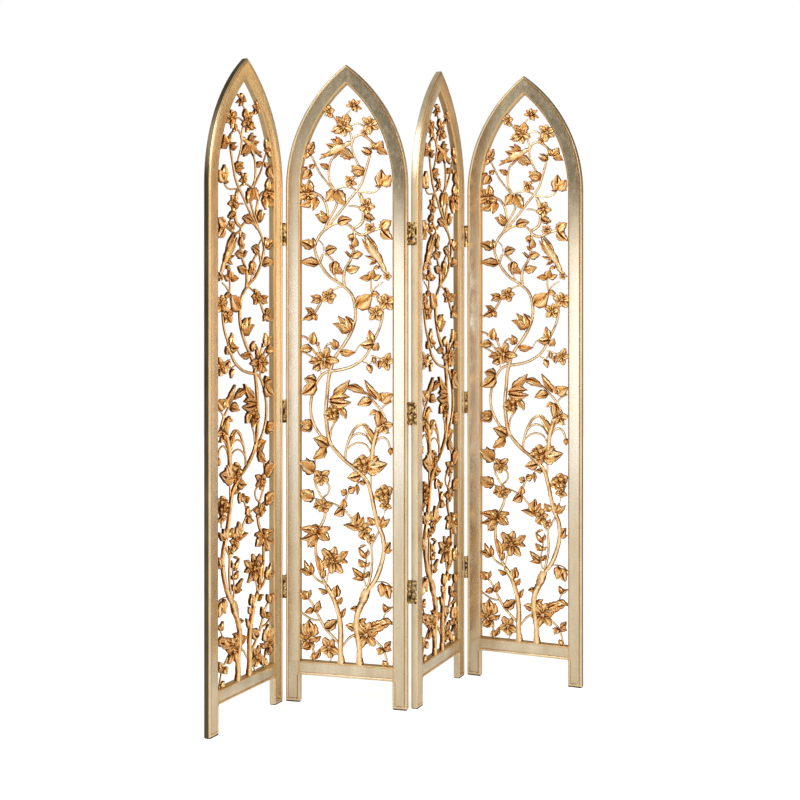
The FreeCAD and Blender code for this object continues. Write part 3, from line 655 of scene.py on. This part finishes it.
def grow_stem(shape, shade, widths, places, bark=STEM_BARK, depth_share=1.0):
    """One stem of the vine: a round length, rougher where it is thick, along its line."""
    line = smooth_line([in_vine(place) for place in places], STEM_SPACING)
    last = len(line) - 1
    ring = bmesh.ops.create_circle(shape, segments=STEM_SIDES, radius=1)["verts"]
    edges = list({edge for vert in ring for edge in vert.link_edges})
    bmesh.ops.contextual_create(shape, geom=edges)
    for number, spot in enumerate(line):
        along = line[min(number + 1, last)] - line[max(number - 1, 0)]
        side = Vector((along.z, 0, -along.x)).normalized()
        step, share = divmod(number / last * (len(widths) - 1), 1)
        nearest = widths[int(step):int(step) + 2]
        half = (nearest[0] + (nearest[-1] - nearest[0]) * share) * VINE_UNIT * STEM_FULLNESS / 2
        if number in (0, last):
            half *= STEM_END_TAPER
        thick = min(max(half * 2 * depth_share, STEM_LEAST_DEPTH), STEM_MOST_DEPTH) / 2
        middle = VINE_BACK - max(thick, STEM_LEAST_SETBACK)
        if number:
            ring, edges = extruded(shape, edges, ring)
        knotted = bark + BARK_OF_WIDTH * half
        for corner, vert in enumerate(ring):
            turn = 2 * math.pi * corner / STEM_SIDES
            grain = noise.noise(Vector((spot.x * BARK_PITCH, turn * 1.7, spot.z * BARK_PITCH)))
            rough = 1 + knotted * grain
            rough += knotted * 0.7 * math.cos(turn * 4 + spot.z * 60)
            vert.co = Vector((spot.x, middle, spot.z)) + side * (half * rough * math.cos(turn))
            vert.co.y -= thick * rough * math.sin(turn)
            # Painted light and shade: pale down the front of the stem, dark brown at its sides,
            # lighter on the bulges of the bark.
            vert[shade] = 0.94 * max(math.sin(turn), 0) ** 2 + 1.5 * (rough - 1)
    bmesh.ops.contextual_create(shape, geom=edges)


# Leaves and petals are sheets of so many steps along and across. The functions of a form
# take a place along it, 0 to 1, and aside from its middle, -1 to 1.
SHEET_LENGTHS = 7
SHEET_WIDTHS = 10


def petal_form(shape, shade, to_place, width_at, rise_at, shade_at, thickness):
    """A leaf or petal: a shaped sheet with sides back to a flat underside."""
    sheet = bmesh.ops.create_grid(shape, x_segments=SHEET_WIDTHS, y_segments=SHEET_LENGTHS,
                                  size=1)["verts"]
    for vert in sheet:
        aside, along = vert.co.x, (vert.co.y + 1) / 2
        vert.co = to_place(along, aside * width_at(along, aside), rise_at(along, aside))
        vert[shade] = shade_at(along, aside)
    rim = list({edge for vert in sheet for edge in vert.link_edges if edge.is_boundary})
    rear = extruded(shape, rim)[1]
    for vert in {vert for edge in rear for vert in edge.verts}:
        vert.co.y = max(vert.co.y, min(vert.co.y + thickness, VINE_BACK))
        # Painted shade: the sides back to the underside are darkest.
        vert[shade] = 0.0
    bmesh.ops.contextual_create(shape, geom=rear)


# Fronts, lifts and thicknesses are metres back from the panel's face.
LEAF_FULLNESS = 0.73
LEAF_FRONT = 0.0066
LEAF_LIFT = 0.0011
LEAF_RELIEF = 0.0046
LEAF_THICKNESS = 0.007
LEAF_SWEEP = 0.066
VEIN_SIDES = (0.0, 0.36, -0.30, 0.16, -0.42)
VEIN_WIDTH = 0.20


def grow_leaf(shape, shade, leaf, number, front=LEAF_FRONT):
    """A pointed leaf with a sunk vein between full lobes, a ragged edge and a curled tip."""
    width, *ends = leaf
    base, tip = in_vine(ends[:2]), in_vine(ends[2:])
    along_way = tip - base
    side = Vector((along_way.z, 0, -along_way.x)).normalized()
    half = width * VINE_UNIT * LEAF_FULLNESS
    relief = min(half * 0.60, LEAF_RELIEF)
    vein = VEIN_SIDES[number % len(VEIN_SIDES)]
    sweep = (LEAF_SWEEP if number % 2 else -LEAF_SWEEP) * along_way.length
    lift = LEAF_LIFT * math.sin(number * 2.4)
    ragged = number * 1.9

    def to_place(along, aside, rise):
        spot = base + along_way * along + side * (aside + sweep * math.sin(math.pi * along))
        spot.y = front + lift - rise
        return spot

    def groove(along, aside):
        deep = math.exp(-((aside - vein * (1 - 0.6 * along)) / VEIN_WIDTH) ** 2)
        return deep + 0.44 * math.cos(aside * 9.5 + vein * 6 + along * 2)

    def width_at(along, aside):
        fullness = max(math.sin(math.pi * along ** 0.72), 0) ** 0.95
        notched = 0.86 + 0.28 * abs(math.sin(along * 9 + ragged + aside))
        return half * (fullness * notched + 0.05)

    def rise_at(along, aside):
        curl = 0.35 * math.sin(ragged) * along ** 3
        return relief * (0.85 - 0.60 * aside * aside - 0.80 * groove(along, aside) + curl)

    def shade_at(along, aside):
        # Painted light and shade: darker in the sunk vein, in a thin rim round the outline and
        # towards the base, paler on the lobes as painted highlight.
        outline = 0.85 * abs(aside) ** 8
        return 0.76 - 0.68 * groove(along, aside) - outline - 0.40 * (1 - along) ** 3

    petal_form(shape, shade, to_place, width_at, rise_at, shade_at, LEAF_THICKNESS)


PETAL_RELIEF = 0.020
PETAL_START = 0.10
PETAL_THICKNESS = 0.006


def grow_petal(shape, shade, centre, turn, reach, spread, front, dish, folds, ragged):
    """A ruffled petal, dished along its middle, that lies out from the heart."""
    out = Vector((math.sin(turn), 0, math.cos(turn)))
    side = Vector((math.cos(turn), 0, -math.sin(turn)))
    relief = min(reach, PETAL_RELIEF)

    def to_place(along, aside, rise):
        spot = centre + out * (reach * (PETAL_START + (1 - PETAL_START) * along)) + side * aside
        spot.y = front - rise
        return spot

    def width_at(along, aside):
        fullness = math.sin(math.pi * (0.06 + 0.88 * along ** 0.8)) ** 0.9
        notched = 0.84 + 0.30 * abs(math.sin(along * 8 + ragged + aside))
        return spread * (0.10 + 0.94 * fullness) * notched

    def ruffle(aside):
        return folds * math.cos(aside * 8 + ragged)

    def rise_at(along, aside):
        fold = dish * (aside * aside - 0.4) + ruffle(aside)
        return relief * (0.14 * fold + 0.13 * math.sin(math.pi * along * 0.9))

    def shade_at(along, aside):
        # Painted light and shade: dark at the heart end and in a thin rim, the folds painted
        # lighter and darker, pale towards the tip.
        outline = 0.75 * max(abs(aside) ** 9, along ** 12)
        return 0.02 + 0.84 * along ** 0.8 + ruffle(aside) - outline

    petal_form(shape, shade, to_place, width_at, rise_at, shade_at, PETAL_THICKNESS)


def add_knob(shape, shade, centre, radius, front, light):
    """A small round knob, such as a flower's heart or a stamen."""
    ball = bmesh.ops.create_uvsphere(shape, u_segments=8, v_segments=6, radius=radius)["verts"]
    for vert in ball:
        # Painted light and shade: the knob is paler at its front and darker towards the back;
        # light sets how pale.
        vert[shade] = light - 0.4 * (vert.co.y / radius + 1) / 2
        vert.co += Vector((centre.x, front, centre.z))


BLOSSOM_FRONT = 0.0078
BLOSSOM_KNOB_FRONT = 0.0052
PETAL_OVERLAP = 0.0012


def grow_blossom(shape, shade, radius, place, petals, turn):
    """An open blossom: uneven petals round a heart darkened with painted shade, with three knobs.
    """
    centre = in_vine(place)
    reach = radius * VINE_UNIT
    for number in range(petals):
        uneven = noise.noise(Vector((radius * 3.1, number * 1.7, place[1] * 0.37)))
        angle = 2 * math.pi * (number + turn) / petals + 0.5 * uneven
        grow_petal(shape, shade, centre, angle, reach * (1.22 + 0.50 * uneven),
                   reach * 2.3 / petals, BLOSSOM_FRONT - PETAL_OVERLAP * (number % 2),
                   0.9, 0.30, number * 2.3 + place[0])
    for number in range(3):
        angle = 2 * math.pi * (number + turn) / 3
        spot = centre + Vector((math.sin(angle), 0, math.cos(angle))) * reach * 0.13
        add_knob(shape, shade, spot, reach * 0.10, BLOSSOM_KNOB_FRONT, 0.70)


ROSE_RINGS = ((1.16, 6), (0.68, 4))
ROSE_FRONT = 0.0080
ROSE_RING_RISE = 0.0017
ROSE_KNOB_FRONT = 0.0046


def grow_rose(shape, shade, radius, place):
    """A cupped rose: two rings of ruffled petals round a hollow heart darkened with painted shade.
    """
    centre = in_vine(place)
    reach = radius * VINE_UNIT
    for ring, (share, petals) in enumerate(ROSE_RINGS):
        for number in range(petals):
            angle = 2 * math.pi * (number + 0.37 * ring) / petals
            angle += 0.2 * math.sin(number * 3.1 + radius)
            size = reach * share * (1.04 + 0.14 * math.sin(number * 2.3 + ring))
            grow_petal(shape, shade, centre, angle, size, reach * share * (0.50 + 0.12 * ring),
                       ROSE_FRONT - ROSE_RING_RISE * ring, 1.3, 0.10, number * 1.9 + ring)
    add_knob(shape, shade, centre, reach * 0.12, ROSE_KNOB_FRONT, 0.25)


# The two birds: width and place from tail to beak, and plumes like leaves.
LONG_BIRD = [
    (1.6, (70, 445.5)), (4.4, (75, 436)), (7.0, (80, 428)), (9.0, (84.5, 421.5)), (7.4, (88, 415)),
    (4.8, (90.3, 410.5)), (5.2, (91.3, 408)), (2.6, (93.3, 405.8)), (0.8, (95, 403.8)),
]
LONG_BIRD_PLUMES = [
    (2.4, 82, 425, 69, 446.5), (2.2, 84, 425, 72, 447), (2.2, 80, 424, 67.5, 442),
    (4.6, 88.5, 415, 77, 431), (3.8, 87, 417, 82, 432), (3.0, 83, 419, 75.5, 414.5),
    (2.6, 82, 422, 70, 424.5), (2.8, 86, 413, 79, 410),
]
SMALL_BIRD = [
    (1.6, (22, 527.5)), (3.0, (28, 530)), (5.4, (35, 533)), (7.4, (42, 536.5)), (6.6, (48, 539)),
    (4.2, (51.5, 541)), (4.6, (53.5, 542)), (1.0, (57.5, 543.5)),
]
SMALL_BIRD_PLUMES = [
    (5.2, 45, 537, 28, 541), (4.4, 45, 539, 33, 546), (3.6, 46, 541, 39, 549),
    (2.6, 36, 532, 20.5, 525), (2.6, 37, 531, 22, 530.5), (2.4, 43, 533.5, 36, 525),
]
BIRD_ROUGHNESS = 0.03
BIRD_DEPTH_SHARE = 0.75
PLUME_FRONT = 0.0058


def grow_bird(shape, shade, body, plumes):
    """A bird: a full body from tail to beak, with wing and tail plumes laid over it."""
    widths, places = zip(*body)
    grow_stem(shape, shade, widths, places, BIRD_ROUGHNESS, BIRD_DEPTH_SHARE)
    for number, plume in enumerate(plumes):
        grow_leaf(shape, shade, plume, number, PLUME_FRONT)


def add_form(whole, form):
    """Add one shape to another."""
    mesh = bpy.data.meshes.new("form")
    form.to_mesh(mesh)
    form.free()
    whole.from_mesh(mesh)
    bpy.data.meshes.remove(mesh)


vine = bmesh.new()
vine.verts.layers.float.new("relief")
for grow, forms in (
        (grow_stem, [(widths, list(zip(run[::2], run[1::2]))) for widths, *run in STEMS]),
        (grow_leaf, [(leaf, number) for number, leaf in enumerate(LEAVES)]),
        (grow_blossom, BLOSSOMS), (grow_rose, ROSES),
        (grow_bird, [(LONG_BIRD, LONG_BIRD_PLUMES), (SMALL_BIRD, SMALL_BIRD_PLUMES)])):
    for measures in forms:
        form = bmesh.new()
        grow(form, form.verts.layers.float.new("relief"), *measures)
        bmesh.ops.recalc_face_normals(form, faces=form.faces)
        add_form(vine, form)

# These tones colour the carving's painted light and shade: dark brown for painted shade in
# hollows, grooves, rims and the sides of stems, pale gold for painted highlights on ridges and
# fronts. The brown is glaze as well.
CARVED_LIGHT_AND_SHADE_TONES = [(0.0, (0.10, 0.030, 0.005)), (0.18, (0.46, 0.18, 0.035)),
                (0.42, (0.86, 0.45, 0.14)), (0.70, (1.0, 0.70, 0.33)), (1.0, (1.0, 0.92, 0.66))]
CARVED_WEAR = 0.16
CARVED_SOFT_EDGE = 50


def carved_gilding():
    """Warm leaf over carving: painted highlights on the ridges, brown glaze and painted shade in
    the hollows.
    """
    finish = new_finish("carved_gilding", 0.88, 0.28)
    plan = carried(finish, "in_panel")
    worn = mottle(finish, plan, 180.0, 4.0)
    # The carried 'relief' value is painted light and shade, set at each point as the vine grows.
    height = calculated(finish, "ADD", carried(finish, "relief", "Fac"),
                        ranged(finish, worn, -CARVED_WEAR, CARVED_WEAR))
    dress(finish, Base_Color=tones_over(finish, height, CARVED_LIGHT_AND_SHADE_TONES),
          Roughness=ranged(finish, worn, 0.18, 0.38))
    raised(finish, mottle(finish, plan, 700.0, 3.0), 0.00025)
    return finish


CARVED = carved_gilding()
for number, panel in enumerate(PANELS):
    piece = stand(vine, "carved_" + panel + "openwork", number, [CARVED], [panel + "openwork"],
                  number in TURNED_PANELS)
    softened(piece, CARVED_SOFT_EDGE)


# Hinges between the panels: antique brass butt hinges. The leaves lie on the edges of the
# uprights, three to a meeting; they keep the shapes of the working parts.
HINGE_SOFT_EDGE = 35
BRASS_TONES = [(0.42, (0.05, 0.025, 0.010)), (0.50, (0.40, 0.25, 0.09)),
               (0.60, (0.95, 0.78, 0.46))]


def antique_brass():
    """Dark waxed brass, brighter where it is rubbed."""
    finish = new_finish("antique_brass", 0.95, 0.36)
    coordinates = node_of(finish, "ShaderNodeTexCoord").outputs["Object"]
    cloud = mottle(finish, coordinates, 110.0, 3.0)
    dress(finish, Base_Color=tones_over(finish, cloud, BRASS_TONES),
          Roughness=ranged(finish, cloud, 0.50, 0.26))
    raised(finish, mottle(finish, coordinates, 600.0, 3.0), 0.0002)
    return finish


def finished(kind, finish):
    """Give the working parts of one kind their finish; their shape stays as it is."""
    parts = [node for name, node in frame["nodes"].items() if kind in name]
    for part in parts:
        part.data.materials.clear()
        part.data.materials.append(finish)
    return parts


for hinge in finished("hinges", antique_brass()):
    softened(hinge, HINGE_SOFT_EDGE)


# Screws of the hinges: slotted countersunk brass screws, four to a leaf, driven through the
# plate into the edge of the upright. Spots are up the leaf and from the pin; SLOT_TURN is
# radians to the metre up the leaf, so that the slots stand all ways.
HINGE_HEIGHT_SHARES = (0.2245, 0.567, 0.9125)
PLATE_FACE = 0.0016
SCREW_RADIUS = 0.0030
SCREW_TOP_SHARE = 0.82
SCREW_RISE = 0.0002
SLOT_HALF = 0.00035
SLOT_TURN = 90
SCREW_SPOTS = ((-0.027, 0.0115), (-0.009, 0.0175), (0.009, 0.0115), (0.027, 0.0175))
SLOT = 1


def screw_head():
    """One head, facing across the panel, with its slot let in."""
    shape = bmesh.new()
    bmesh.ops.create_cone(shape, cap_ends=True, segments=20, radius1=SCREW_RADIUS,
                          radius2=SCREW_RADIUS * SCREW_TOP_SHARE, depth=SCREW_RISE * 2)
    for side in (-SLOT_HALF, SLOT_HALF):
        bmesh.ops.bisect_plane(shape, geom=shape.verts[:] + shape.edges[:] + shape.faces[:],
                               plane_co=(side, 0, 0), plane_no=(1, 0, 0))
    slot = [face for face in shape.faces
            if face.normal.z > 0.9 and abs(face.calc_center_median().x) < SLOT_HALF / 2]
    for face in bmesh.ops.extrude_discrete_faces(shape, faces=slot)["faces"]:
        face.material_index = SLOT
        for vert in face.verts:
            vert.co.z -= SCREW_RISE
    shape.transform(Matrix.Rotation(math.radians(90), 4, "Y"))
    return shape


def clouded(name, metallic, roughness, stops, scale, detail, depth):
    """A plain finish: a cloudy tone with fine relief."""
    finish = new_finish(name, metallic, roughness)
    cloud = mottle(finish, node_of(finish, "ShaderNodeTexCoord").outputs["Object"], scale, detail)
    dress(finish, Base_Color=tones_over(finish, cloud, stops))
    raised(finish, cloud, depth)
    return finish


SCREW_FINISHES = [
    clouded("screw_brass", 0.95, 0.25, [(0.35, (0.552, 0.456, 0.27)), (0.6, (0.92, 0.76, 0.45))],
            900.0, 3.0, 0.00005),
    # The slots are coloured near black.
    clouded("dark_slot", 0.95, 0.6, [(0.35, (0.06, 0.03, 0.012)), (0.6, (0.10, 0.05, 0.02))],
            900.0, 3.0, 0.00005),
]
head = screw_head()
for number, pin_on_front in enumerate((True, False, True)):
    for panel, face, turn, side in ((number, PANEL_WIDTH + PLATE_FACE, 0, "pin"),
                                    (number + 1, -PLATE_FACE, math.pi, "sleeve")):
        screws = bmesh.new()
        for share in HINGE_HEIGHT_SHARES:
            for up, from_pin in SCREW_SPOTS:
                back = from_pin - PIN_SETOUT
                if not pin_on_front:
                    back = PANEL_THICKNESS - back
                one = head.copy()
                one.transform(Matrix.Translation((face, back, SPRING_HEIGHT * share + up))
                              @ Matrix.Rotation(turn, 4, "Z")
                              @ Matrix.Rotation(up * SLOT_TURN, 4, "X"))
                add_form(screws, one)
        piece = stand(screws, "hinge_screws_%d_to_%d_%s_side" % (number + 1, number + 2, side),
                      panel, SCREW_FINISHES, [])


# Pads under the feet: near-black moulded plastic, tacked on. The tongues across the mitres
# are bare beech and stay out of sight.
finished("foot_glides", clouded(
    "glide_pad", 0.0, 0.6, [(0.35, (0.008, 0.008, 0.009)), (0.65, (0.022, 0.021, 0.020))],
    300.0, 4.0, 0.0002))
finished("apex_tongue", clouded(
    "bare_beech", 0.0, 0.7, [(0.35, (0.42, 0.27, 0.15)), (0.65, (0.56, 0.38, 0.22))],
    60.0, 4.0, 0.0002))


# The plain white floor and backdrop of the photograph. Both are pure white to the camera, and
# the floor keeps the screen's own shadow. Metal sees a room instead: a dimmer ceiling, pale
# walls in the middle, a dark end on the left and brown to gold ones on the right.
FLOOR_RADIUS = 7
FLOOR_GLOW = 0.66
FLOOR_GLOW_IN_METAL = 0.24
ROOM_LIGHT = 0.50
ROOM_IN_METAL = 1.85


def white_ground():
    """White floor: a plain matt white, with a glow for the camera and for metal."""
    finish = new_finish("white_ground", 0.0, 0.9)
    paths = node_of(finish, "ShaderNodeLightPath").outputs
    in_metal = calculated(finish, "MULTIPLY", paths["Is Glossy Ray"], FLOOR_GLOW_IN_METAL)
    glow = calculated(finish, "MULTIPLY_ADD", paths["Is Camera Ray"], FLOOR_GLOW, in_metal)
    dress(finish, Base_Color=(0.90, 0.90, 0.90), Specular_IOR_Level=0.0, Emission_Color=WHITE,
          Emission_Strength=glow)
    return finish


ground = bmesh.new()
bmesh.ops.create_circle(ground, cap_ends=True, segments=96, radius=FLOOR_RADIUS)
ground_mesh = bpy.data.meshes.new("white_floor")
ground.to_mesh(ground_mesh)
ground_mesh.materials.append(white_ground())
floor = bpy.data.objects.new("white_floor", ground_mesh)
bpy.context.collection.objects.link(floor)

room = bpy.data.worlds.new("white_room")
room.use_nodes = True
bpy.context.scene.world = room
direction = node_of(room, "ShaderNodeTexCoord").outputs["Generated"]
ray_kinds = node_of(room, "ShaderNodeLightPath").outputs


def room_levels(way, low, high, tones):
    """How the room stands in metal, tone by tone along one way."""
    span = node_of(room, "ShaderNodeMapRange", From_Min=low, From_Max=high)
    feed(room, span.inputs["Value"], reach_along(room, direction, way))
    return tones_over(room, span.outputs["Result"], tones)


def by_ray(kind, seen, otherwise):
    """What one kind of ray sees of the room, and what all the others do."""
    choice = node_of(room, "ShaderNodeMixShader")
    for at, value in enumerate((ray_kinds[kind], otherwise, seen)):
        feed(room, choice.inputs[at], value)
    return choice.outputs[0]


ceiling = room_levels((-0.12, 0, 1), -0.16, 0.44, [
    (0.0, WHITE), (0.33, WHITE), (0.41, (0.62, 0.60, 0.57)), (0.52, (0.36, 0.34, 0.31)),
    (0.80, (0.30, 0.28, 0.25))])
side_walls = room_levels((1, 0, 0), -1.0, 1.0, [
    (0.04, (0.05, 0.04, 0.025)), (0.17, (0.06, 0.045, 0.03)), (0.20, (0.76, 0.73, 0.67)),
    (0.27, (0.90, 0.87, 0.81)), (0.34, (0.97, 0.96, 0.93)), (0.40, (0.62, 0.62, 0.62)),
    (0.71, (0.65, 0.63, 0.60)), (0.765, (0.16, 0.09, 0.035)), (0.81, (0.50, 0.32, 0.14)),
    (0.86, (0.80, 0.51, 0.22)), (0.95, (1.0, 0.72, 0.42)), (1.0, (0.50, 0.36, 0.20))])
mirrored = node_of(room, "ShaderNodeBackground", Strength=ROOM_IN_METAL)
feed(room, mirrored.inputs["Color"], blended(room, 1.0, ceiling, side_walls, "MULTIPLY"))
plain = room.node_tree.nodes["Background"]
plain.inputs["Color"].default_value = (*WHITE, 1)
plain.inputs["Strength"].default_value = ROOM_LIGHT
backdrop = node_of(room, "ShaderNodeBackground", Color=(*WHITE, 1))
feed(room, room.node_tree.nodes["World Output"].inputs["Surface"],
     by_ray("Is Camera Ray", backdrop.outputs[0],
            by_ray("Is Glossy Ray", mirrored.outputs[0], plain.outputs[0])))


LAMP_AIM = Vector((0, 0, 1.0))


def softbox(name, place, size, power):
    """A large square soft lamp that faces the middle of the screen."""
    lamp = bpy.data.lights.new(name, "AREA")
    lamp.shape = "RECTANGLE"
    lamp.size = lamp.size_y = size
    lamp.energy = power
    box = bpy.data.objects.new(name, lamp)
    box.location = place
    box.rotation_euler = (LAMP_AIM - Vector(place)).to_track_quat("-Z", "Y").to_euler()
    bpy.context.collection.objects.link(box)


softbox("key_softbox", (-2.2, -3.0, 3.8), 2.2, 66)
softbox("fill_softbox", (3.0, -2.4, 3.0), 2.0, 60)

# The camera of the photograph, found by fitting the panels' corners.
PHOTO_SIZE = 800
FOCAL_PIXELS = 1365.3
HORIZON_ROW = 268.27
CAMERA_FROM_CORNER = Vector((1.4266, -4.0780, 1.3647))
CAMERA_TURN = 14.488
SENSOR_WIDTH = 36
camera_data = bpy.data.cameras.new("photo_camera")
camera_data.sensor_width = SENSOR_WIDTH
camera_data.lens = SENSOR_WIDTH * FOCAL_PIXELS / PHOTO_SIZE
camera_data.shift_y = (HORIZON_ROW - PHOTO_SIZE / 2) / PHOTO_SIZE
camera = bpy.data.objects.new("photo_camera", camera_data)
camera.location = CORNERS[1] + CAMERA_FROM_CORNER
camera.rotation_euler = (math.radians(90), 0, math.radians(CAMERA_TURN))
bpy.context.collection.objects.link(camera)
scene = bpy.context.scene
scene.camera = camera
scene.view_settings.view_transform = "Standard"
